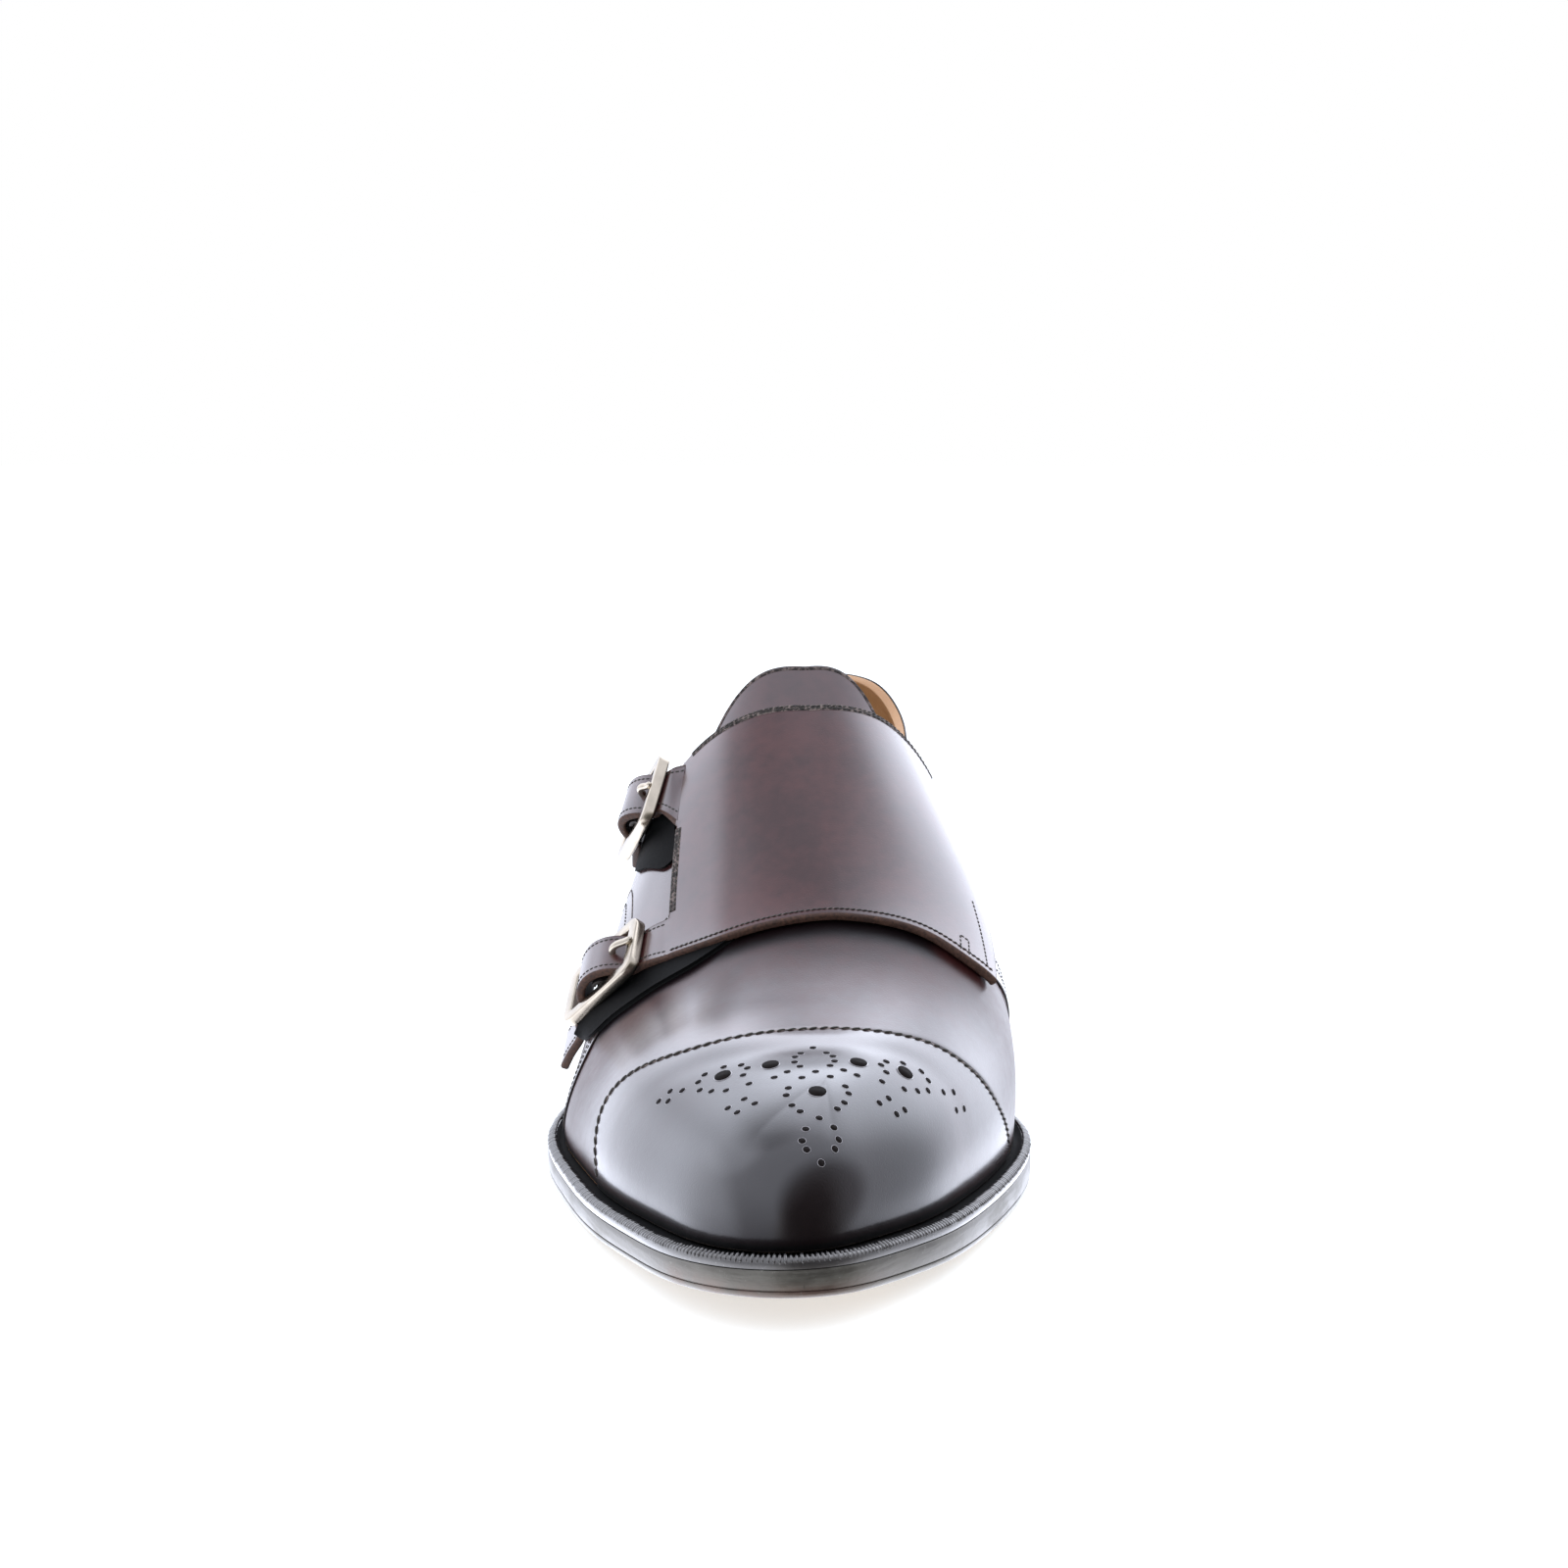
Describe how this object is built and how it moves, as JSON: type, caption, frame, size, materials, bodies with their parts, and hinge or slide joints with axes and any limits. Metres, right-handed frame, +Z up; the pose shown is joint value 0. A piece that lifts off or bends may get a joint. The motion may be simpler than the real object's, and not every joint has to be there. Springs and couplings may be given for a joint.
{
  "type": "double monk strap shoe",
  "caption": "Closed leather dress shoe with a stitched toe cap, a broad instep flap ending in buckled straps, a welted sole and a stacked heel.",
  "frame": {"origin": "middle of the shoe's length and width, on the surface it stands on", "axes": "-Y towards the toe, +Y towards the heel, +X the medial side, +Z up"},
  "size_m": [0.108, 0.3, 0.1062],
  "materials": {
    "leather": "glossy burnished burgundy",
    "loop_leather": "satin black",
    "lining": "matt tan",
    "sole": "waxed black edge",
    "top_piece": "matt",
    "buckle_metal": "pale polished nickel"
  },
  "bodies": {
    "root": {"outsole": "sole", "welt": "sole", "heel_stack": "sole", "heel_top_piece": "top_piece", "insole": "lining", "upper": "leather", "toe_cap": "leather", "tongue": "leather", "monk_flap": "leather", "lower_buckle": "buckle_metal", "upper_buckle": "buckle_metal", "lower_prong": "buckle_metal", "upper_prong": "buckle_metal", "lower_buckle_loop": "loop_leather", "upper_buckle_loop": "loop_leather"}
  },
  "joints": []
}
